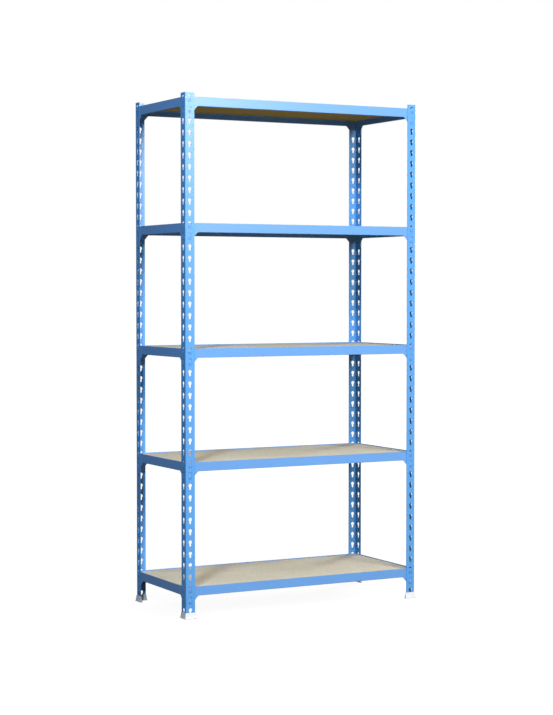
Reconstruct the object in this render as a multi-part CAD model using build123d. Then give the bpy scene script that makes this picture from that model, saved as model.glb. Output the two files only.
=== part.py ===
from build123d import *
import os

# Boltless steel shelving: four punched angle posts standing in plastic feet, and five shelf frames
# of four hooked beams, each frame with a loose chipboard panel.
# Origin at the middle of the footprint on the floor, +X to the right, -Y to the front, +Z up.
# All sizes are in millimetres.

# Overall sizes
OUTER_WIDTH = 902.0  # over the outside of the posts, left to right
OUTER_DEPTH = 407.0  # over the outside of the posts, front to back
POST_LENGTH = 1750.0

# Post: a folded steel angle
POST_FLANGE = 34.0
POST_SHEET = 1.5
POST_BEND = 2.5  # outside radius of the fold

# Keyholes, one column down each flange
KEYHOLE_PITCH = 38.0
KEYHOLE_EYE = 12.5  # diameter of the round part, which is at the top
KEYHOLE_SLOT = 7.0  # width of the slot below it
KEYHOLE_HEIGHT = 21.0
KEYHOLE_INSET = 17.0  # outer corner of the post to the column's centre line
KEYHOLE_TOP_MARGIN = 8.5  # top end of the post to the top of the first eye
KEYHOLE_END_MARGIN = 8.0  # least steel left under the last slot

# Shelves
SHELF_COUNT = 5
KEYHOLES_BELOW_LAST_SHELF = 2  # keyholes under the one that holds the lowest shelf's upper lugs
PANEL_THICKNESS = 10.0
PANEL_RECESS = 2.5  # top edge of the beams down to the top of the panel
PANEL_GAP = 1.0  # edge of the panel to the inside of the beams

# Beam: one folded steel sheet
BEAM_SHEET = 1.2
BEAM_HEIGHT = 31.0
BEAM_FLOOR = 12.0  # width of the bottom of the channel
BEAM_LEDGE = 12.0  # width of the ledge that carries the panel, past the channel
BEAM_BEND = 1.8  # outside radius of the folds
FOLD_RELIEF = 3.0  # gap between the end of the folds and the end plate's shoulder

# End plate: the flat, deeper end of the beam
GUSSET_REACH = 13.0  # how far its shoulder stands past the post's edge
GUSSET_DROP = 14.5  # height of the shoulder's slope, from the beam's bottom to the post's edge
GUSSET_ROUND = 5.0  # radius where the slope leaves the beam's bottom
PLATE_INSET = 4.0  # post's edge back to the plate's own edge, behind the flange
PLATE_ROUND = 3.0

# Lug: pressed out of the end plate, through a keyhole
LUG_DROP = 13.3  # beam's top edge to the upper lug's centre
LUG_EDGE = 10.5  # lower lug's centre to the bottom of the end plate
LUG_SLIT = 1.2  # width of the two slits that part the neck from the head's wings
LUG_NECK = KEYHOLE_SLOT - 2 * LUG_SLIT  # width of the part that stands in the slot
LUG_NECK_RISE = 3.6  # lug's centre to the top of the neck
LUG_HEAD_WIDTH = KEYHOLE_EYE - 1.5  # the head has to pass through the eye
LUG_HEAD_SIDE = KEYHOLE_EYE - 8.1  # height of the head's upright sides
LUG_HEAD_TOP = KEYHOLE_EYE - 4.1  # width of its top and bottom, between the cut corners
LUG_HEAD_HEIGHT = KEYHOLE_EYE - 4.7
LUG_HEAD_SHEET = 1.2
LUG_SLIT_HEIGHT = LUG_HEAD_HEIGHT - 1.5
LUG_RAMP_TIP = 5.6  # lug's centre to where the sheet leaves the plate, above the head
LUG_RAMP_EDGE = 0.1  # how far the ramp's tip stands out
LUG_WALL = 1.0  # steel left round the hollow behind a lug

# Foot: a plastic cap on the end of the post
FOOT_BASE = 4.5  # plastic under the post
FOOT_HEIGHT = 20.5
FOOT_WALL = 1.4
FOOT_FLARE = 3.0  # how far the base stands out past the rim
FOOT_BASE_EDGE = 3.0  # height of the upright edge of the base
FOOT_EASE = 0.8  # small bevel on the floor side of the base
FOOT_CORNER = 1.0  # radius of the foot's upright corners

# Clearances
HOOK_GAP = 0.3  # between a beam and a post, on each face and under each lug
CORNER_GAP = 0.8  # between the beams that meet in a corner
FOOT_GAP = 0.1  # between the post and the foot's pocket

# Worked out from the sizes above
HALF_WIDTH = OUTER_WIDTH / 2
HALF_DEPTH = OUTER_DEPTH / 2
POST_TOP = FOOT_BASE + POST_LENGTH
EYE_RADIUS = KEYHOLE_EYE / 2
SLOT_RADIUS = KEYHOLE_SLOT / 2
NECK_RADIUS = LUG_NECK / 2
PUNCHED_LENGTH = POST_LENGTH - KEYHOLE_TOP_MARGIN - KEYHOLE_END_MARGIN - KEYHOLE_HEIGHT
KEYHOLE_COUNT = 1 + int(PUNCHED_LENGTH // KEYHOLE_PITCH)
EYE_TO_SLOT_END = KEYHOLE_HEIGHT - EYE_RADIUS  # centre of the eye down to the bottom of the slot
BEAM_FACE = POST_SHEET + HOOK_GAP  # outside of the posts in to the outside of a beam
BEAM_INSIDE = BEAM_FACE + BEAM_SHEET
LEDGE_DROP = PANEL_RECESS + PANEL_THICKNESS  # beam's top edge down to the top of the ledge
FOLD_END = max(  # outer corner of a post along to the end of the beam's folds
    POST_FLANGE + GUSSET_REACH + FOLD_RELIEF,
    BEAM_FACE + BEAM_FLOOR + BEAM_LEDGE + CORNER_GAP,
)
PLATE_DROP = LUG_DROP + KEYHOLE_PITCH + LUG_EDGE
HEAD_FACE = POST_SHEET + 2 * HOOK_GAP  # beam's outer face out to the back of a lug's head
# How far a hooked shelf rises from the bottom of its slots until its lugs face the eyes
HOOK_LIFT = EYE_TO_SLOT_END - HOOK_GAP - NECK_RADIUS
CUT_MARGIN = 1.0  # how far a cutting tool runs past the sheet that it cuts


def eye_height(row):
    """Height of the centre of a keyhole's eye. Row 0 is the top one."""
    return POST_TOP - KEYHOLE_TOP_MARGIN - EYE_RADIUS - row * KEYHOLE_PITCH


def shelf_rows():
    """The keyhole rows that hold each shelf's upper lugs, from the lowest shelf to the top one."""
    last_row = KEYHOLE_COUNT - 1 - KEYHOLES_BELOW_LAST_SHELF
    steps = SHELF_COUNT - 1
    return [round(last_row * step / steps) for step in range(steps, -1, -1)]


def shelf_height(row):
    """Height of the top edge of the beams whose upper lugs rest in this row."""
    return eye_height(row) - HOOK_LIFT + LUG_DROP


def angle_outline(overhang=0.0, corner_radius=0.0):
    """Outline of the post's section with its outer corner at 0, 0, grown by an overhang."""
    near, far, thick = -overhang, POST_FLANGE + overhang, POST_SHEET + overhang
    points = [(near, near), (far, near), (far, thick), (thick, thick), (thick, far), (near, far)]
    outline = make_face(Polyline(*points, close=True))
    if corner_radius:
        outline = fillet(outline.vertices(), corner_radius)
    return outline


def keyhole_outline():
    """A keyhole with the centre of its eye at 0, 0 and its slot below."""
    slot_length = EYE_TO_SLOT_END - SLOT_RADIUS
    slot = Pos(0, -slot_length / 2) * Rectangle(KEYHOLE_SLOT, slot_length)
    return Circle(EYE_RADIUS) + slot + Pos(0, -slot_length) * Circle(SLOT_RADIUS)


def post():
    """A post with its outer corner at 0, 0 and its flanges along +X and +Y, standing on z = 0."""
    section = angle_outline()
    outer_corner = section.vertices().sort_by(Axis((0, 0, 0), (1, 1, 0)))[0]
    angle = extrude(fillet(outer_corner, POST_BEND), POST_LENGTH)
    depth = POST_SHEET + 2 * CUT_MARGIN
    flanges = ((Plane.XZ.offset(CUT_MARGIN), -depth), (Plane.YZ.offset(-CUT_MARGIN), depth))
    punches = []
    for row in range(KEYHOLE_COUNT):
        place = Pos(KEYHOLE_INSET, eye_height(row) - FOOT_BASE)
        for flange, through in flanges:
            punches.append(extrude(flange * place * keyhole_outline(), through))
    return angle - punches


def foot():
    """The cap under a post whose outer corner is at 0, 0, standing on z = 0.

    Its wall goes straight up from the floor, then leans in to a rim that sits close to the post.
    """
    base = FOOT_WALL + FOOT_FLARE
    rings = [(0, base - FOOT_EASE), (FOOT_EASE, base), (FOOT_BASE_EDGE, base), (FOOT_HEIGHT, FOOT_WALL)]
    layers = []
    for (low, low_overhang), (high, high_overhang) in zip(rings, rings[1:]):
        low_ring = Pos(0, 0, low) * angle_outline(low_overhang, FOOT_CORNER)
        high_ring = Pos(0, 0, high) * angle_outline(high_overhang, FOOT_CORNER)
        layers.append(loft([low_ring, high_ring], ruled=True))
    pocket = Pos(0, 0, FOOT_BASE) * extrude(angle_outline(FOOT_GAP), FOOT_HEIGHT)
    return layers[0] + layers[1:] - pocket


def channel_section():
    """The beam's folded section in the YZ plane: web, floor, inner leg and the ledge at its top.

    The outside of the web is at y = 0 and its top edge at z = 0; +Y is into the shelf.
    """
    sheet, floor, leg_top = BEAM_SHEET, BEAM_FLOOR, -LEDGE_DROP
    outer_bends = [(0, -BEAM_HEIGHT), (floor, -BEAM_HEIGHT), (floor - sheet, leg_top)]
    inner_bends = [
        (sheet, sheet - BEAM_HEIGHT),
        (floor - sheet, sheet - BEAM_HEIGHT),
        (floor, leg_top - sheet),
    ]
    outline = Polyline(
        (0, 0),
        outer_bends[0],
        outer_bends[1],
        inner_bends[2],
        (floor + BEAM_LEDGE, leg_top - sheet),
        (floor + BEAM_LEDGE, leg_top),
        outer_bends[2],
        inner_bends[1],
        inner_bends[0],
        (sheet, 0),
        close=True,
    )
    section = make_face(outline)
    for bends, radius in ((outer_bends, BEAM_BEND), (inner_bends, BEAM_BEND - sheet)):
        for bend in bends:
            corner = min(section.vertices(), key=lambda v: (Vector(v.X, v.Y) - Vector(*bend)).length)
            section = fillet(corner, radius)
    return section


def end_plate(half_outer, half_web):
    """The flat end of a beam, at its +X end, from the end of the folds to the end of the web."""
    post_edge = half_outer - POST_FLANGE
    fold_end = half_outer - FOLD_END
    shoulder = (post_edge - GUSSET_REACH, -BEAM_HEIGHT)
    plate_edge = post_edge + PLATE_INSET
    slope = GUSSET_DROP / GUSSET_REACH
    slope_end = (plate_edge, -BEAM_HEIGHT - slope * (GUSSET_REACH + PLATE_INSET))
    toes = [(plate_edge, -PLATE_DROP), (half_web, -PLATE_DROP)]
    outline = Polyline(
        (fold_end, 0),
        (fold_end, -BEAM_HEIGHT),
        shoulder,
        slope_end,
        *toes,
        (half_web, 0),
        close=True,
    )
    plate = make_face(outline)
    for point, radius in ((shoulder, GUSSET_ROUND), (toes[0], PLATE_ROUND), (toes[1], PLATE_ROUND)):
        corner = min(plate.vertices(), key=lambda v: (Vector(v.X, v.Y) - Vector(*point)).length)
        plate = fillet(corner, radius)
    return extrude(Plane.XZ * plate, -BEAM_SHEET)


def head_outline():
    """The head of a lug: a rectangle with cut corners, so that it fits through the round eye."""
    half_width, half_top = LUG_HEAD_WIDTH / 2, LUG_HEAD_TOP / 2
    half_side, half_height = LUG_HEAD_SIDE / 2, LUG_HEAD_HEIGHT / 2
    quarter = [(half_width, half_side), (half_top, half_height)]
    upper = quarter + [(-x, y) for x, y in reversed(quarter)]
    return make_face(Polyline(*upper, *[(-x, -y) for x, y in upper], close=True))


def lug():
    """A lug with its centre on the outside of the end plate at 0, 0, 0, standing out along -Y.

    The neck stands in the slot and carries the head outside the post. Two slits part the head's
    wings from the neck, and a ramp runs from the top of the head back to the plate.
    """
    neck_flat = Pos(0, LUG_NECK_RISE / 2) * Rectangle(LUG_NECK, LUG_NECK_RISE)
    neck = extrude(Plane.XZ * (neck_flat + Circle(NECK_RADIUS)), HEAD_FACE)
    slits = [
        Pos(side * (LUG_NECK + LUG_SLIT) / 2, 0) * Rectangle(LUG_SLIT, LUG_SLIT_HEIGHT)
        for side in (-1, 1)
    ]
    head = extrude(Plane.XZ.offset(HEAD_FACE) * (head_outline() - slits), LUG_HEAD_SHEET)
    head_top, head_front = LUG_HEAD_HEIGHT / 2, HEAD_FACE + LUG_HEAD_SHEET
    ramp_side = Polyline(
        (0, LUG_NECK_RISE),
        (-head_front, LUG_NECK_RISE),
        (-head_front, head_top),
        (-LUG_RAMP_EDGE, LUG_RAMP_TIP),
        (0, LUG_RAMP_TIP),
        close=True,
    )
    ramp = extrude(Plane.YZ * make_face(ramp_side), LUG_NECK / 2, both=True)
    return neck + head + ramp


def lug_hollow():
    """The hollow left behind a pressed lug, open on the inside of the end plate."""
    width = LUG_NECK - 2 * LUG_WALL
    low, high = LUG_WALL - NECK_RADIUS, LUG_NECK_RISE - LUG_WALL
    outline = Pos(0, (low + high) / 2) * Rectangle(width, high - low)
    depth = CUT_MARGIN + BEAM_SHEET + HEAD_FACE
    return extrude(Plane.XZ.offset(-BEAM_SHEET - CUT_MARGIN) * outline, depth)


def beam(half_outer, half_web):
    """A beam along X, its top edge at z = 0 and the outside of its web at y = 0, facing -Y.

    half_outer is from the middle to the outside of the posts, and half_web to the web's own end.
    """
    half_fold = half_outer - FOLD_END
    middle = extrude(Plane.YZ.offset(-half_fold) * channel_section(), 2 * half_fold)
    plate = end_plate(half_outer, half_web)
    body = middle + [plate, mirror(plate, Plane.YZ)]
    for side in (-1, 1):
        for drop in (LUG_DROP, LUG_DROP + KEYHOLE_PITCH):
            place = Pos(side * (half_outer - KEYHOLE_INSET), 0, -drop)
            body = body + place * lug() - place * lug_hollow()
    return body


def panel():
    """A shelf panel with its top face at z = 0."""
    edge = BEAM_INSIDE + PANEL_GAP
    board = Box(OUTER_WIDTH - 2 * edge, OUTER_DEPTH - 2 * edge, PANEL_THICKNESS)
    return Pos(0, 0, -PANEL_THICKNESS / 2) * board


def write(node, solid):
    solid.label = node
    export_step(solid, f"parts/{node}.step")


os.makedirs("parts", exist_ok=True)

# The same post and foot stand in all four corners, each a quarter turn from the last
CORNERS = {
    "front_left": Pos(-HALF_WIDTH, -HALF_DEPTH) * Rot(0, 0, 0),
    "front_right": Pos(HALF_WIDTH, -HALF_DEPTH) * Rot(0, 0, 90),
    "back_right": Pos(HALF_WIDTH, HALF_DEPTH) * Rot(0, 0, 180),
    "back_left": Pos(-HALF_WIDTH, HALF_DEPTH) * Rot(0, 0, 270),
}
one_post = post()
one_foot = foot()
for corner, place in CORNERS.items():
    write(f"post_{corner}", place * Pos(0, 0, FOOT_BASE) * one_post)
    write(f"foot_{corner}", place * one_foot)

# The long beams run the full width inside the posts, and the short ones stop at their webs
long_beam = beam(HALF_WIDTH, HALF_WIDTH - BEAM_FACE)
short_beam = beam(HALF_DEPTH, HALF_DEPTH - BEAM_INSIDE - CORNER_GAP)
SIDES = {
    "front": (long_beam, Pos(0, BEAM_FACE - HALF_DEPTH) * Rot(0, 0, 0)),
    "right": (short_beam, Pos(HALF_WIDTH - BEAM_FACE, 0) * Rot(0, 0, 90)),
    "back": (long_beam, Pos(0, HALF_DEPTH - BEAM_FACE) * Rot(0, 0, 180)),
    "left": (short_beam, Pos(BEAM_FACE - HALF_WIDTH, 0) * Rot(0, 0, 270)),
}
one_panel = panel()
for shelf, row in enumerate(shelf_rows(), start=1):
    top = shelf_height(row)
    for side, (side_beam, place) in SIDES.items():
        write(f"shelf_{shelf}_{side}_beam", Pos(0, 0, top) * place * side_beam)
    write(f"shelf_{shelf}_panel", Pos(0, 0, top - PANEL_RECESS) * one_panel)
    print(f"shelf {shelf}: keyhole row {row}, top edge of its beams at {top:.2f}")

print(f"{KEYHOLE_COUNT} keyholes in each flange")
print(f"a shelf unhooks by rising {HOOK_LIFT:.2f}")
print(f"panel top is {PANEL_RECESS:.2f} below its beams, posts end at {POST_TOP:.2f}")
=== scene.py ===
# %% [markdown]
# # Boltless steel shelving
#
# This lesson finishes a CAD model of a storage shelf in Blender. Four punched steel angles stand in
# white plastic feet and carry five shelves. Each shelf is four folded beams, hooked into the posts'
# keyholes, and a loose chipboard panel.
#
# Everything is in metres, with the origin on the floor under the middle of the shelving, +X to the
# right, -Y to the front and +Z up. The folded and punched steel keeps its CAD shape, which is
# already exact, and gets its paint here. The feet and the panels are made again, because moulded
# plastic has soft edges and sawn chipboard has ragged ones, and CAD solids have neither.

# %% Load the frame
import math

import bpy
import numpy as np
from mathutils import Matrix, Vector


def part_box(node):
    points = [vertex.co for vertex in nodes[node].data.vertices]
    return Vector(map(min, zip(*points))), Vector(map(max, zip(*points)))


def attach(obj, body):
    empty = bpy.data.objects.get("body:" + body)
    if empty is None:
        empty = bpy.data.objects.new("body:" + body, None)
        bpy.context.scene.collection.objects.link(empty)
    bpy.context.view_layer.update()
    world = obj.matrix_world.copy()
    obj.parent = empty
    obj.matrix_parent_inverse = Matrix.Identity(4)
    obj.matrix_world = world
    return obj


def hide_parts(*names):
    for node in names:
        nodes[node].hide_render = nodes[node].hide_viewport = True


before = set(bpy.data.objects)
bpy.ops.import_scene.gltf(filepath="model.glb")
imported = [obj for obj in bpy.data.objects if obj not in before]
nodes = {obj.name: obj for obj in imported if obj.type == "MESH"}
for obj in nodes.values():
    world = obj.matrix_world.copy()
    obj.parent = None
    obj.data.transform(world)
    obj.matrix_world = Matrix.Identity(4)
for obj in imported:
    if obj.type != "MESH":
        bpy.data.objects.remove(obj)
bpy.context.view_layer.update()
MM = 0.001

# %% [markdown]
# ## The camera
#
# A camera close to tall furniture has to look up and down at it, and splays its uprights. From some
# way off, through a long lens, they stay nearly parallel, so that is the way taken here. This camera
# stands over six metres away at the front left, a little above half the shelving's height, and
# looks down by two degrees. The lower panels then show their tops, and the upper ones their
# undersides. Depth of field and shift are left off.

# %% Camera
CAMERA_PLACE = (-2.9885, -5.5915, 1.1034)
TURN_RIGHT = math.radians(28.13)
LOOK_DOWN = math.radians(2.19)
LENS = 90.2  # focal length in mm, for a sensor 36 mm wide

camera_data = bpy.data.cameras.new("camera")
camera_data.lens = LENS
camera_data.sensor_width = 36.0
camera = bpy.data.objects.new("camera", camera_data)
camera.location = CAMERA_PLACE
camera.rotation_euler = (math.pi / 2 - LOOK_DOWN, 0, -TURN_RIGHT)
bpy.context.scene.collection.objects.link(camera)
bpy.context.scene.camera = camera
print(f"camera {math.dist(CAMERA_PLACE, (0, 0, 0.88)):.2f} m from the middle of the shelving")

# %% [markdown]
# ## Helpers for nodes
#
# A material is a small program drawn as boxes and wires. In a script it is clearer to say what goes
# into each box on one line, so `place` adds a node and fills its inputs: a number or colour is typed
# into the input, and another node's output is wired to it. `maths`, `spread` and `blend_colours` are
# the three boxes that nearly every material needs. `new_group` makes an empty node group with named
# sockets, and `use_group` places it: a group is a program that several materials share, each with
# its own values.


# %% Node helpers
def place(tree, kind, inputs=None, **settings):
    """Adds a node, and types a value into each input or wires another node's output to it."""
    node = tree.nodes.new(kind)
    for name, value in settings.items():
        setattr(node, name, value)
    for socket, value in (inputs or {}).items():
        if isinstance(value, bpy.types.NodeSocket):
            tree.links.new(value, node.inputs[socket])
        else:
            node.inputs[socket].default_value = value
    return node


def maths(tree, operation, first, second=0.0):
    """The output of a Math node on two values."""
    return place(tree, "ShaderNodeMath", {0: first, 1: second}, operation=operation).outputs[0]


def spread(tree, value, low, high, out_low=0.0, out_high=1.0):
    """A value stretched from the range low to high onto another range, and kept inside it."""
    inputs = {0: value, 1: low, 2: high, 3: out_low, 4: out_high}
    return place(tree, "ShaderNodeMapRange", inputs).outputs[0]


def blend_colours(tree, share, first, second):
    """A colour mixed from two by a share from 0 to 1."""
    inputs = {0: share, 6: first, 7: second}
    return place(tree, "ShaderNodeMix", inputs, data_type="RGBA").outputs[2]


def new_group(name, inputs, outputs):
    """An empty node group with its sockets, and its input and output nodes."""
    group = bpy.data.node_groups.new(name, "ShaderNodeTree")
    for title, kind, value in inputs:
        socket = group.interface.new_socket(title, in_out="INPUT", socket_type=f"NodeSocket{kind}")
        socket.default_value = value
    for title, kind in outputs:
        group.interface.new_socket(title, in_out="OUTPUT", socket_type=f"NodeSocket{kind}")
    return group, group.nodes.new("NodeGroupInput").outputs, group.nodes.new("NodeGroupOutput")


def use_group(tree, group, **values):
    """Places a group in a material. An underscore in a value's name stands for a space."""
    node = place(tree, "ShaderNodeGroup", node_tree=group)
    for title, value in values.items():
        socket = node.inputs[title.replace("_", " ")]
        if isinstance(value, bpy.types.NodeSocket):
            tree.links.new(value, socket)
        else:
            socket.default_value = value
    return node.outputs


def new_material(name):
    """An empty material, its node tree and its Principled shader."""
    material = bpy.data.materials.new(name)
    material.use_nodes = True
    return material, material.node_tree, material.node_tree.nodes["Principled BSDF"]


# %% [markdown]
# ## Shared effect 1: soft edges
#
# No real edge is perfectly sharp. Powder paint flows while it bakes and leaves every punched or cut
# edge with a radius of about half a millimetre, which catches a thin line of light. Bevels modelled
# round more than seven hundred keyhole edges would cost a million faces for a line that thin, so the
# Bevel node does it in the shader: it turns the normal near an edge as if the edge were round. The
# group also compares that normal with the flat one. Where they differ there is an edge, and the
# materials use this mask for the thinner paint on it.

# %% Group: soft edges
soft_edges, wire, out = new_group(
    "soft edges",
    [("Radius", "Float", 0.5 * MM)],
    [("Normal", "Vector"), ("Edge", "Float")],
)
rounded = place(soft_edges, "ShaderNodeBevel", {"Radius": wire["Radius"]}, samples=6).outputs[0]
flat = place(soft_edges, "ShaderNodeNewGeometry").outputs["True Normal"]
likeness = place(
    soft_edges, "ShaderNodeVectorMath", {0: rounded, 1: flat}, operation="DOT_PRODUCT"
).outputs["Value"]
FLAT_LIKENESS, EDGE_LIKENESS = 0.99, 0.75  # 1 is a normal that wasn't turned at all
edge_mask = spread(soft_edges, likeness, FLAT_LIKENESS, EDGE_LIKENESS)
soft_edges.links.new(rounded, out.inputs["Normal"])
soft_edges.links.new(edge_mask, out.inputs["Edge"])
print("group", soft_edges.name)

# %% [markdown]
# ## Shared effect 2: grain and cloud
#
# Paint, plastic and chipboard all have two kinds of unevenness: a fine grain that can only be seen
# from close by, and a slow cloudiness over a hand's width, where the coat is a little thicker or
# has been touched. Both are noise, at two scales, in the object's own coordinates, so that they
# stay on the piece when it moves. Scales are in grains per metre.

# %% Group: grain and cloud
grain_and_cloud, wire, out = new_group(
    "grain and cloud",
    [("Vector", "Vector", (0, 0, 0)), ("Grain Scale", "Float", 800.0), ("Cloud Scale", "Float", 6.0)],
    [("Grain", "Float"), ("Cloud", "Float")],
)
for title, detail in (("Grain", 1.0), ("Cloud", 3.0)):
    inputs = {"Vector": wire["Vector"], "Scale": wire[f"{title} Scale"], "Detail": detail}
    noise = place(grain_and_cloud, "ShaderNodeTexNoise", inputs).outputs[0]
    grain_and_cloud.links.new(spread(grain_and_cloud, noise, 0.3, 0.7), out.inputs[title])
print("group", grain_and_cloud.name)

# %% [markdown]
# ## Shared effect 3: settled dust
#
# Dust lies on what faces up and hardly at all on what stands upright. The mask is the upward part
# of the normal, broken up by a cloud. Each material mixes a little grey with it: very little, since
# this shelving is new.

# %% Group: settled dust
settled_dust, wire, out = new_group(
    "settled dust",
    [("Cloud", "Float", 0.5), ("Amount", "Float", 0.1)],
    [("Mask", "Float")],
)
normal = place(settled_dust, "ShaderNodeNewGeometry").outputs["Normal"]
upward = place(settled_dust, "ShaderNodeSeparateXYZ", {0: normal}).outputs["Z"]
lying = spread(settled_dust, upward, 0.55, 0.95)
patchy = maths(settled_dust, "MULTIPLY", lying, spread(settled_dust, wire["Cloud"], 0.1, 0.9, 0.3))
amount = maths(settled_dust, "MULTIPLY", patchy, wire["Amount"])
settled_dust.links.new(amount, out.inputs["Mask"])
DUST = (0.42, 0.40, 0.37, 1)
print("group", settled_dust.name)

# %% [markdown]
# ## The steel: light blue powder coat
#
# Powder coat is sprayed on as dry plastic dust and baked to a skin a tenth of a millimetre thick. It
# is semi-gloss: lamps show in it as broad soft patches, and the skin has the faint dimples that
# painters call orange peel. It draws back from sharp edges, which look a touch darker and greyer.
# One flat colour with one roughness would look printed on, and dimples in the mesh would cost
# millions of faces. So the three shared effects vary the colour, the roughness and the normal of a
# Principled shader, each by very little. One function mixes this paint, and the posts and the beams
# each get their own batch of it.


# %% Powder coat
CLOUD_SHADE = 0.94  # how bright the thicker patches are, beside the rest
THIN_SHARE = 0.45  # how much of the thin paint's colour shows on an edge
GLOSS_SPREAD = 0.03
DUST_ROUGHNESS = 0.8


def powder_coat(name, colour, thin_colour, gloss):
    """Semi-gloss powder coat, with a gloss from 0, dull, to 1, like glass."""
    material, tree, shader = new_material(name)
    position = place(tree, "ShaderNodeTexCoord").outputs["Object"]
    edge = use_group(tree, soft_edges, Radius=0.6 * MM)
    skin = use_group(tree, grain_and_cloud, Vector=position, Grain_Scale=650.0, Cloud_Scale=5.0)
    dust = use_group(tree, settled_dust, Cloud=skin["Cloud"], Amount=0.10)

    deeper = tuple(CLOUD_SHADE * part for part in colour)
    paint = blend_colours(tree, skin["Cloud"], (*colour, 1), (*deeper, 1))
    thinner = maths(tree, "MULTIPLY", edge["Edge"], THIN_SHARE)
    paint = blend_colours(tree, thinner, paint, (*thin_colour, 1))
    paint = blend_colours(tree, dust["Mask"], paint, DUST)
    tree.links.new(paint, shader.inputs["Base Color"])

    dullness = 1.0 - gloss
    rough = spread(
        tree, skin["Cloud"], 0.0, 1.0, dullness - GLOSS_SPREAD, dullness + GLOSS_SPREAD
    )
    rough = maths(tree, "ADD", rough, maths(tree, "MULTIPLY", dust["Mask"], DUST_ROUGHNESS))
    tree.links.new(rough, shader.inputs["Roughness"])

    peel = {"Height": skin["Grain"], "Normal": edge["Normal"], "Strength": 0.05, "Distance": 0.2 * MM}
    tree.links.new(place(tree, "ShaderNodeBump", peel).outputs[0], shader.inputs["Normal"])
    shader.inputs["IOR"].default_value = 1.5
    return material


POST_BLUE, POST_THIN = (0.112, 0.368, 0.800), (0.085, 0.230, 0.480)
BEAM_BLUE, BEAM_THIN = (0.155, 0.375, 0.790), (0.100, 0.230, 0.480)
post_paint = powder_coat("post paint", POST_BLUE, POST_THIN, gloss=0.70)
beam_paint = powder_coat("beam paint", BEAM_BLUE, BEAM_THIN, gloss=0.70)
painted = {"post_": post_paint, "_beam": beam_paint}
for part, paint in painted.items():
    steel = [node for name, node in nodes.items() if part in name]
    for node in steel:
        node.data.materials.clear()
        node.data.materials.append(paint)
    print(f"{len(steel)} nodes painted with {paint.name}")

# %% [markdown]
# ## From rings to a closed mesh
#
# The feet and the panels are both made in the same way: an outline that runs once round the piece,
# carried along a profile that goes from the underside up the outside and over the top. Each step of
# the profile is one ring of points. `skin_of_rings` joins neighbouring rings with four-sided faces
# and closes the first and last ring with one flat face each.


# %% Rings to mesh
def skin_of_rings(rings):
    """The faces between J rings of K points, as lists of point numbers, rings running anticlockwise.

    Point k of ring j has the number j * K + k. A side face joins k and k + 1 of rings j and j + 1,
    with k + 1 wrapping round to 0. The first ring is capped facing back and the last facing on.
    """
    ring_count, point_count = rings.shape[:2]
    ring = np.arange(ring_count - 1)[:, None] * point_count
    here = np.arange(point_count)[None, :]
    beside = (here + 1) % point_count
    sides = np.stack([ring + here, ring + beside, ring + point_count + beside,
                      ring + point_count + here], axis=-1).reshape(-1, 4)
    first_cap = np.arange(point_count)[::-1]
    last_cap = np.arange(point_count) + (ring_count - 1) * point_count
    return sides, first_cap, last_cap


def make_piece(name, rings, sharp_angle):
    """A mesh object from rings of points, smooth except on its caps and its sharp edges."""
    sides, first_cap, last_cap = skin_of_rings(rings)
    faces = sides.tolist() + [first_cap.tolist(), last_cap.tolist()]
    mesh = bpy.data.meshes.new(name)
    mesh.from_pydata(rings.reshape(-1, 3).tolist(), [], faces)
    smooth = np.ones(len(faces), dtype=bool)
    smooth[-2:] = False
    mesh.polygons.foreach_set("use_smooth", smooth)
    mesh.set_sharp_from_angle(angle=math.radians(sharp_angle))
    mesh.update()
    piece = bpy.data.objects.new(name, mesh)
    bpy.context.scene.collection.objects.link(piece)
    return piece, len(sides)


cube_sides, *cube_caps = skin_of_rings(np.zeros((2, 4, 3)))
print(f"two rings of four points make a cube: {len(cube_sides)} sides and {len(cube_caps)} caps")

# %% [markdown]
# ## The feet: their shape
#
# A foot is a small cap of white plastic that is pressed onto the sawn end of a post, so that the
# steel doesn't scratch the floor. It is an angle in plan, like the post. It stands on a base with a
# low upright edge, and its wall leans in from there to a thin rim that hugs the steel. A box with
# bevels would miss the lean and the pocket, so the foot is the post's own outline, grown by an
# overhang that changes with height: that gives the lean, the rim and the pocket in one skin.


# %% Outline of an angle
def angle_outline(flange, sheet, overhang, radius, arc_points=6):
    """An angle section with its outer corner at 0, 0, as an array of rings, points and x, y.

    Overhang and radius are arrays with one value for each ring. The six corners lie at -overhang,
    flange + overhang and sheet + overhang. Each is an arc about a centre one radius inside its two
    sides: centre + radius * (cos t, sin t), where t turns by a quarter. In the inner corner the
    centre is outside the section, and t turns the other way.
    """
    near, far, thick = -overhang, flange + overhang, sheet + overhang
    corners = [  # x, y, side of the centre in x and y, first and last angle in quarters
        (near, near, 1, 1, 2, 3),
        (far, near, -1, 1, 3, 4),
        (far, thick, -1, -1, 0, 1),
        (thick, thick, 1, 1, 3, 2),
        (thick, far, -1, -1, 0, 1),
        (near, far, 1, -1, 1, 2),
    ]
    arcs = []
    for x, y, side_x, side_y, first, last in corners:
        angle = np.linspace(first, last, arc_points) * math.pi / 2
        arc_x = (x + side_x * radius)[:, None] + radius[:, None] * np.cos(angle)
        arc_y = (y + side_y * radius)[:, None] + radius[:, None] * np.sin(angle)
        arcs.append(np.stack([arc_x, arc_y], axis=-1))
    return np.concatenate(arcs, axis=1)


# %% Profile of a foot
post_low, post_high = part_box("post_front_left")
foot_low, foot_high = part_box("foot_front_left")
FLANGE = post_high[0] - post_low[0]
SHEET = 1.5 * MM  # thickness of the post's steel
OVERHANG = post_low[0] - foot_low[0]  # how far the base stands out past the post
RIM_HEIGHT = foot_high[2]
BASE_HEIGHT = post_low[2]  # plastic under the end of the post
POCKET_GAP = 0.1 * MM  # between the steel and the pocket's wall
EDGE_HEIGHT = 3.0 * MM  # the base's low upright edge
RIM_OVERHANG = 1.4 * MM  # thickness of the rim

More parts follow.
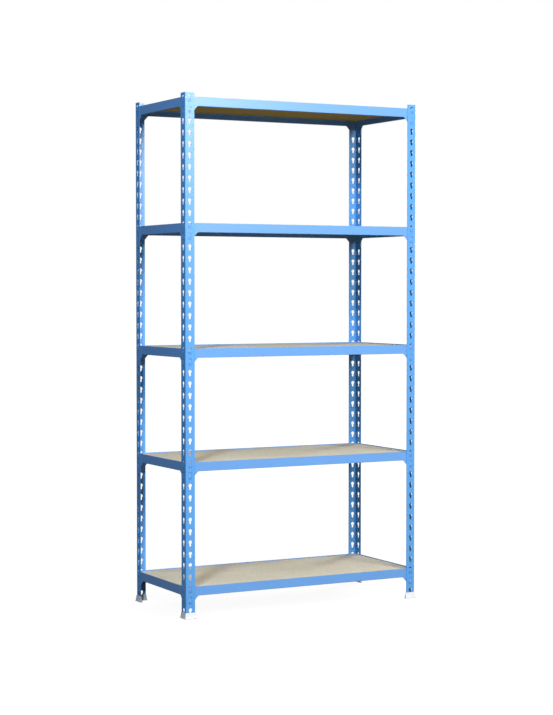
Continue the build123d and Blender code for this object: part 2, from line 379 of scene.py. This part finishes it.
# Pairs of height and overhang: the floor's bevel, the upright edge and its rounding, the leaning
# wall, the rim, and then down the inside to the pocket's floor.
lean = np.linspace(0, 1, 7)
foot_profile = np.concatenate([
    [(0, OVERHANG - 0.8 * MM), (0.1 * MM, OVERHANG - 0.4 * MM), (0.3 * MM, OVERHANG - 0.15 * MM)],
    [(0.7 * MM, OVERHANG), (EDGE_HEIGHT - 0.7 * MM, OVERHANG)],
    [(EDGE_HEIGHT - 0.2 * MM, OVERHANG - 0.1 * MM), (EDGE_HEIGHT, OVERHANG - 0.45 * MM)],
    np.stack([
        EDGE_HEIGHT + 0.3 * MM + (RIM_HEIGHT - EDGE_HEIGHT - 0.9 * MM) * lean,
        OVERHANG - 0.8 * MM + (RIM_OVERHANG - OVERHANG + 0.8 * MM) * lean**0.85,
    ], axis=1),
    [(RIM_HEIGHT - 0.2 * MM, RIM_OVERHANG - 0.12 * MM), (RIM_HEIGHT, RIM_OVERHANG - 0.5 * MM)],
    [(RIM_HEIGHT, POCKET_GAP + 0.35 * MM), (RIM_HEIGHT - 0.3 * MM, POCKET_GAP)],
    [(BASE_HEIGHT, POCKET_GAP)],
])
foot_heights, foot_overhangs = foot_profile.T
print(f"foot profile of {len(foot_profile)} points, {OVERHANG / MM:.1f} mm proud at the floor")


# %% Foot rings
def foot_rings(corner, quarter_turns):
    """The rings of a foot under a post whose outer corner is at corner, turned in quarters.

    A ring is the angle's outline at the profile's overhang, lifted to the profile's height. The
    corners have a radius of 1.4 mm outside, which shrinks into the pocket with the overhang.
    """
    radius = np.clip(foot_overhangs, 0.3 * MM, 1.4 * MM)
    flat_rings = angle_outline(FLANGE, SHEET, foot_overhangs, radius)
    turn = quarter_turns * math.pi / 2
    turned_x = flat_rings[..., 0] * math.cos(turn) - flat_rings[..., 1] * math.sin(turn)
    turned_y = flat_rings[..., 0] * math.sin(turn) + flat_rings[..., 1] * math.cos(turn)
    heights = np.broadcast_to(foot_heights[:, None], turned_x.shape)
    return np.stack([corner[0] + turned_x, corner[1] + turned_y, heights], axis=-1)


ring_count, point_count = foot_rings((0, 0), 0).shape[:2]
print(f"a foot is {ring_count} rings of {point_count} points")

# %% [markdown]
# ## The feet: their plastic
#
# The mould of such a cap is etched with a fine spark texture, so the plastic is satin rather than
# shiny, and a little light sinks in and comes out again. Near the floor it picks up some grey. A
# bare white surface would look like chalk, and grime painted as an image would need a map of the
# piece. So a little subsurface light softens the white, a fine bump gives the etching, and the grey
# is mixed in by height above the floor.

# %% Foot plastic
foot_plastic, tree, shader = new_material("foot plastic")
position = place(tree, "ShaderNodeTexCoord").outputs["Object"]
height = place(tree, "ShaderNodeSeparateXYZ", {0: position}).outputs["Z"]
edge = use_group(tree, soft_edges, Radius=0.4 * MM)
skin = use_group(tree, grain_and_cloud, Vector=position, Grain_Scale=1400.0, Cloud_Scale=60.0)
dust = use_group(tree, settled_dust, Cloud=skin["Cloud"], Amount=0.15)
plastic = blend_colours(tree, skin["Cloud"], (0.87, 0.87, 0.87, 1), (0.82, 0.82, 0.81, 1))
floor_line = spread(tree, height, 2.5 * MM, 0.0)
grime = maths(tree, "MULTIPLY", floor_line, spread(tree, skin["Cloud"], 0.2, 0.8, 0.15, 0.45))
plastic = blend_colours(tree, grime, plastic, (0.50, 0.49, 0.46, 1))
plastic = blend_colours(tree, dust["Mask"], plastic, DUST)
tree.links.new(plastic, shader.inputs["Base Color"])
tree.links.new(spread(tree, skin["Cloud"], 0.0, 1.0, 0.42, 0.52), shader.inputs["Roughness"])
etch = {"Height": skin["Grain"], "Normal": edge["Normal"], "Strength": 0.15, "Distance": 0.1 * MM}
tree.links.new(place(tree, "ShaderNodeBump", etch).outputs[0], shader.inputs["Normal"])
shader.inputs["IOR"].default_value = 1.49
shader.inputs["Subsurface Weight"].default_value = 0.3
shader.inputs["Subsurface Radius"].default_value = (1.5 * MM, 1.4 * MM, 1.3 * MM)
shader.inputs["Subsurface Scale"].default_value = 1.0
print("material", foot_plastic.name)

# %% Four feet
CORNERS = {  # which side of the post's box its outer corner is on, and the foot's quarter turns
    "front_left": (0, 0, 0),
    "front_right": (1, 0, 1),
    "back_right": (1, 1, 2),
    "back_left": (0, 1, 3),
}
for corner, (side_x, side_y, quarter_turns) in CORNERS.items():
    post_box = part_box(f"post_{corner}")
    outer_corner = (post_box[side_x][0], post_box[side_y][1])
    foot, faces = make_piece(f"cap_{corner}", foot_rings(outer_corner, quarter_turns), 40)
    foot.data.materials.append(foot_plastic)
    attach(foot, "root")
    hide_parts(f"foot_{corner}")
    print(f"{foot.name}: {faces} side faces")

# %% [markdown]
# ## The panels: their shape
#
# A panel is a chipboard sheet, sawn to size. The saw tears small chips out of its edges, so the
# sharp edge between face and side, which joiners call the arris, is never a straight line. A box
# with a Bevel modifier would have the same radius all along, like planed wood. So the board is a
# rectangle's outline with a point every few millimetres, carried over a rounded arris whose radius
# changes along the edge: small along most of it, and larger where a chip broke out.

# %% Board rings
ARRIS = 0.35 * MM  # radius of a clean sawn arris
TORN_ARRIS = 1.1 * MM  # the most that a broken chip takes
POINT_SPACING = 5 * MM


def slow_noise(count, waves, random):
    """A closed wavy line of count values from 0 to 1: a sum of sines with random phases."""
    turn = np.linspace(0, 2 * math.pi, count, endpoint=False)[:, None]
    waves = np.asarray(waves)[None, :]
    phases = random.uniform(0, 2 * math.pi, waves.shape)
    line = np.sin(turn * waves + phases).sum(axis=1)
    return (line - line.min()) / (line.max() - line.min())


def rectangle_outline(low, high):
    """Points and outward directions round a rectangle, anticlockwise, a spacing apart.

    Each side is a straight run from its first corner up to, but not with, the next one. A point's
    outward direction is its side's, and at a corner the diagonal of its two sides.
    """
    corners = np.array([(low[0], low[1]), (high[0], low[1]), (high[0], high[1]), (low[0], high[1])])
    outward = np.array([(0, -1), (1, 0), (0, 1), (-1, 0)])
    points, directions = [], []
    for side in range(4):
        start, end = corners[side], corners[(side + 1) % 4]
        count = round(math.dist(start, end) / POINT_SPACING)
        share = np.linspace(0, 1, count, endpoint=False)[:, None]
        points.append(start + (end - start) * share)
        direction = np.repeat(outward[side:side + 1], count, axis=0)
        direction[0] = outward[side] + outward[side - 1]
        directions.append(direction)
    return np.concatenate(points), np.concatenate(directions)


def board_rings(low, high, seed):
    """The rings of a sawn board, from the edge of its underside round to the edge of its face.

    Over an arris of radius r the profile is a quarter circle: it stands in by r * (1 - sin t) and
    back by r * (1 - cos t). The radius follows a noise line raised to a high power, so that it is
    small nearly everywhere and large in a few places.
    """
    random = np.random.default_rng(seed)
    points, directions = rectangle_outline(low, high)
    steps = np.linspace(0, math.pi / 2, 4)
    rings = []
    for face in (0, 1):
        torn = slow_noise(len(points), random.integers(40, 230, 14), random) ** 6
        radius = ARRIS + (TORN_ARRIS - ARRIS) * torn
        for step in steps if face == 0 else steps[::-1]:
            inset = radius * (1 - math.sin(step))
            depth = radius * (1 - math.cos(step))
            height = low[2] + depth if face == 0 else high[2] - depth
            rings.append(np.column_stack([points - directions * inset[:, None], height]))
    return np.stack(rings)


sample = board_rings((0, 0, 0), (0.6, 0.4, 0.01), seed=0)
print(f"a sample board of 600 x 400 mm is {len(sample)} rings of {sample.shape[1]} points")

# %% [markdown]
# ## The panels: pressed chips
#
# Chipboard is made of wood flakes that are glued and pressed flat. Its faces have a layer of fine
# flakes, and a sawn side shows the coarse ones of the core. An image of real board would repeat
# along the shelf, and noise alone looks like stone, since it has no flakes with edges. Here cells of
# a Voronoi texture are the flakes, each with its own random tone, and a second, finer set breaks
# them up. Faces and sides have the same pattern at another size, so it is a node group. The material
# stretches the coordinates, so that the flakes lie along the board.
# Each board's underside gets this chipboard with darker, browner tones, which is painted shade.

# %% Group: pressed chips
pressed_chips, wire, out = new_group(
    "pressed chips",
    [("Vector", "Vector", (0, 0, 0)), ("Chip Scale", "Float", 300.0), ("Contrast", "Float", 1.0)],
    [("Tone", "Float"), ("Height", "Float")],
)
STRAY = 4 * MM  # how far noise may push a chip's edge
FINE_SCALE = 2.7  # fine flakes to a coarse one
COARSE_SHARE = 0.6  # of the tone that comes from the coarse flakes
wander = place(
    pressed_chips, "ShaderNodeTexNoise", {"Vector": wire["Vector"], "Scale": wire["Chip Scale"]}
).outputs["Color"]
strayed = place(
    pressed_chips, "ShaderNodeVectorMath", {0: wander, 1: (STRAY, STRAY, STRAY)}, operation="MULTIPLY"
).outputs[0]
strayed = place(
    pressed_chips, "ShaderNodeVectorMath", {0: wire["Vector"], 1: strayed}, operation="ADD"
).outputs[0]
finer = maths(pressed_chips, "MULTIPLY", wire["Chip Scale"], FINE_SCALE)
tones = []
for scale in (wire["Chip Scale"], finer):
    cell = place(pressed_chips, "ShaderNodeTexVoronoi", {"Vector": strayed, "Scale": scale})
    tones.append(place(pressed_chips, "ShaderNodeSeparateColor", {0: cell.outputs["Color"]}).outputs[0])
coarse_part = maths(pressed_chips, "MULTIPLY", tones[0], COARSE_SHARE)
fine_part = maths(pressed_chips, "MULTIPLY", tones[1], 1 - COARSE_SHARE)
both = maths(pressed_chips, "ADD", coarse_part, fine_part)
centred = maths(pressed_chips, "SUBTRACT", both, 0.5)
tone = maths(pressed_chips, "ADD", maths(pressed_chips, "MULTIPLY", centred, wire["Contrast"]), 0.5)
pressed_chips.links.new(tone, out.inputs["Tone"])
pressed_chips.links.new(both, out.inputs["Height"])
print("group", pressed_chips.name)


# %% Chipboard
AGED_BROWN = (0.36, 0.28, 0.18, 1)


def chipboard(name, stretch, chip_scale, contrast, tones, relief):
    """Raw chipboard. Tones are its colours from the darkest flake to the lightest."""
    material, tree, shader = new_material(name)
    position = place(tree, "ShaderNodeTexCoord").outputs["Object"]
    along = place(tree, "ShaderNodeMapping", {"Vector": position, "Scale": stretch}).outputs[0]
    chips = use_group(tree, pressed_chips, Vector=along, Chip_Scale=chip_scale, Contrast=contrast)
    skin = use_group(tree, grain_and_cloud, Vector=position, Grain_Scale=1800.0, Cloud_Scale=9.0)
    dust = use_group(tree, settled_dust, Cloud=skin["Cloud"], Amount=0.08)

    ramp = place(tree, "ShaderNodeValToRGB", {0: chips["Tone"]})
    stops = ramp.color_ramp.elements
    while len(stops) < len(tones):
        stops.new(0.5)
    for index, colour in enumerate(tones):
        stops[index].position = index / (len(tones) - 1)
        stops[index].color = (*colour, 1)
    browning = spread(tree, skin["Cloud"], 0.0, 1.0, 0.0, 0.10)
    aged = blend_colours(tree, browning, ramp.outputs[0], AGED_BROWN)
    wood = blend_colours(tree, dust["Mask"], aged, DUST)
    tree.links.new(wood, shader.inputs["Base Color"])
    tree.links.new(spread(tree, chips["Tone"], 0.0, 1.0, 0.86, 0.72), shader.inputs["Roughness"])

    pressed = {"Height": chips["Height"], "Strength": relief, "Distance": 0.25 * MM}
    coarse = place(tree, "ShaderNodeBump", pressed).outputs[0]
    fibres = {"Height": skin["Grain"], "Normal": coarse, "Strength": 0.15, "Distance": 0.1 * MM}
    tree.links.new(place(tree, "ShaderNodeBump", fibres).outputs[0], shader.inputs["Normal"])
    shader.inputs["IOR"].default_value = 1.4
    return material


FACE_TONES = [
    (0.46, 0.37, 0.24), (0.62, 0.54, 0.40), (0.71, 0.64, 0.50), (0.76, 0.70, 0.57), (0.80, 0.76, 0.65),
]
# Painted shade: the underside's tones are the face's tones made darker and browner, as if in the shadow
# under the shelf, though both faces of a real board are alike.
SHADED_UNDER_TONES = [
    (0.26, 0.17, 0.04), (0.38, 0.27, 0.06), (0.45, 0.33, 0.08), (0.50, 0.38, 0.10), (0.56, 0.44, 0.13),
]
SIDE_TONES = [
    (0.16, 0.10, 0.05), (0.34, 0.25, 0.14), (0.45, 0.36, 0.22), (0.55, 0.46, 0.31), (0.62, 0.55, 0.40),
]
board_face = chipboard("board face", (0.7, 1.0, 1.0), 260.0, 0.65, FACE_TONES, 0.25)
# The underside's finish is the darker copy with painted shade.
board_under_shaded = chipboard("board underside, painted shade", (0.8, 1.0, 1.0), 230.0, 0.7, SHADED_UNDER_TONES, 0.3)
board_side = chipboard("board side", (0.5, 0.5, 1.6), 190.0, 1.3, SIDE_TONES, 0.8)
print("materials", board_face.name, board_under_shaded.name, board_side.name, sep=", ")

# %% Five panels
shelf_count = sum(name.endswith("_panel") for name in nodes)
for shelf in range(1, shelf_count + 1):
    low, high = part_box(f"shelf_{shelf}_panel")
    board, faces = make_piece(f"board_{shelf}", board_rings(low, high, seed=shelf), 50)
    for finish in (board_side, board_under_shaded, board_face):
        board.data.materials.append(finish)
    slots = np.zeros(len(board.data.polygons), dtype=np.int32)
    # Slot 1, the underside, takes the darker copy with painted shade, and slot 2, the top face, takes
    # the plain face.
    slots[-2:] = 1, 2
    board.data.polygons.foreach_set("material_index", slots)
    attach(board, f"shelf_{shelf}_board")
    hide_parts(f"shelf_{shelf}_panel")
    print(f"{board.name}: {faces} side faces, {(high[0] - low[0]) / MM:.0f} mm long")

# %% [markdown]
# ## The floor
#
# The studio floor has to look like endless white paper, and still show where the feet touch it. A
# plain white sheet would turn grey away from the lights, and throw their light up under the shelves.
# So this floor treats the camera and the light differently. To the camera it is a nearly white
# sheet with a glow of its own and a little shadow. The glow grows with distance, until the floor is
# as white as the background and its far edge can't be seen. To every other ray it is a dull warm
# brown, as a real studio floor is outside the paper: it sends little light back up, and the
# undersides of the shelves stay deep in tone.

# %% Floor
FLOOR_REACH = 60.0
GLOW_START, GLOW_END = 1.2, 4.0  # distances between which the paper turns fully white
floor_mesh = bpy.data.meshes.new("floor")
floor_corners = [(x, y, 0) for x, y in ((-1, -1), (1, -1), (1, 1), (-1, 1))]
floor_mesh.from_pydata((np.array(floor_corners) * FLOOR_REACH).tolist(), [], [(0, 1, 2, 3)])
floor = bpy.data.objects.new("floor", floor_mesh)
bpy.context.scene.collection.objects.link(floor)

floor_paper, tree, shader = new_material("floor paper")
position = place(tree, "ShaderNodeTexCoord").outputs["Object"]
distance = place(tree, "ShaderNodeVectorMath", {0: position}, operation="LENGTH").outputs["Value"]
away = spread(tree, distance, GLOW_START, GLOW_END)
shader.inputs["Roughness"].default_value = 0.9
shade = blend_colours(tree, away, (0.05, 0.05, 0.05, 1), (0.01, 0.01, 0.01, 1))
tree.links.new(shade, shader.inputs["Base Color"])
glow = place(tree, "ShaderNodeEmission", {"Strength": spread(tree, away, 0, 1, 0.95, 1.05)})
lit = place(tree, "ShaderNodeAddShader", {0: shader.outputs[0], 1: glow.outputs[0]})
brown = place(tree, "ShaderNodeBsdfDiffuse", {"Color": (0.22, 0.17, 0.12, 1)})
seen = place(tree, "ShaderNodeLightPath").outputs["Is Camera Ray"]
both = place(tree, "ShaderNodeMixShader", {0: seen, 1: brown.outputs[0], 2: lit.outputs[0]})
tree.links.new(both.outputs[0], tree.nodes["Material Output"].inputs["Surface"])
floor_mesh.materials.append(floor_paper)
print(f"floor {2 * FLOOR_REACH:.0f} m across")

# %% [markdown]
# ## The light
#
# The main soft box hangs high in front, a little to the right, and lights the front faces. The blue
# there is bright, and the sides that face left stay a deeper blue, which is what shows the shape of
# the angles. A smaller, cooler box at the front left casts the posts' soft shadows slantwise across
# the panels: the smaller a light is, the sharper its shadows are. A third box, behind the shelving
# and to the right, lights the faces that the other two miss. The room itself gives very little
# light, so that the bays stay dark just under each shelf, as they do in a large studio.


# %% Soft boxes
def soft_box(name, stand, size, power, tint=(1, 1, 1), aim=(0, 0, 0.9)):
    """A square area light that stands at a place and faces the aim."""
    data = bpy.data.lights.new(name, "AREA")
    data.color = tint
    data.shape = "SQUARE"
    data.size = size
    data.energy = power
    box = bpy.data.objects.new(name, data)
    box.location = stand
    box.rotation_euler = (Vector(aim) - Vector(stand)).to_track_quat("-Z", "Y").to_euler()
    bpy.context.scene.collection.objects.link(box)
    print(f"{name}: {size} m across, {power} W")


soft_box("main light", (0.9, -4.6, 2.9), size=1.8, power=250, tint=(1, 0.98, 0.95))
soft_box("left light", (-2.9, -3.1, 3.3), size=0.6, power=140, tint=(0.74, 0.87, 1))
soft_box("back light", (5.6, 3.2, 2.3), size=1.8, power=190)

# %% Room
world = bpy.data.worlds.new("studio")
world.use_nodes = True
bpy.context.scene.world = world
tree = world.node_tree
white = tree.nodes["Background"]
white.inputs["Color"].default_value = (1, 1, 1, 1)
room = place(tree, "ShaderNodeBackground", {"Color": (1, 1, 1, 1), "Strength": 0.06})
seen = place(tree, "ShaderNodeLightPath").outputs["Is Camera Ray"]
both = place(tree, "ShaderNodeMixShader", {0: seen, 1: room.outputs[0], 2: white.outputs[0]})
tree.links.new(both.outputs[0], tree.nodes["World Output"].inputs["Surface"])
bpy.context.scene.view_settings.view_transform = "Standard"
print("world", world.name)
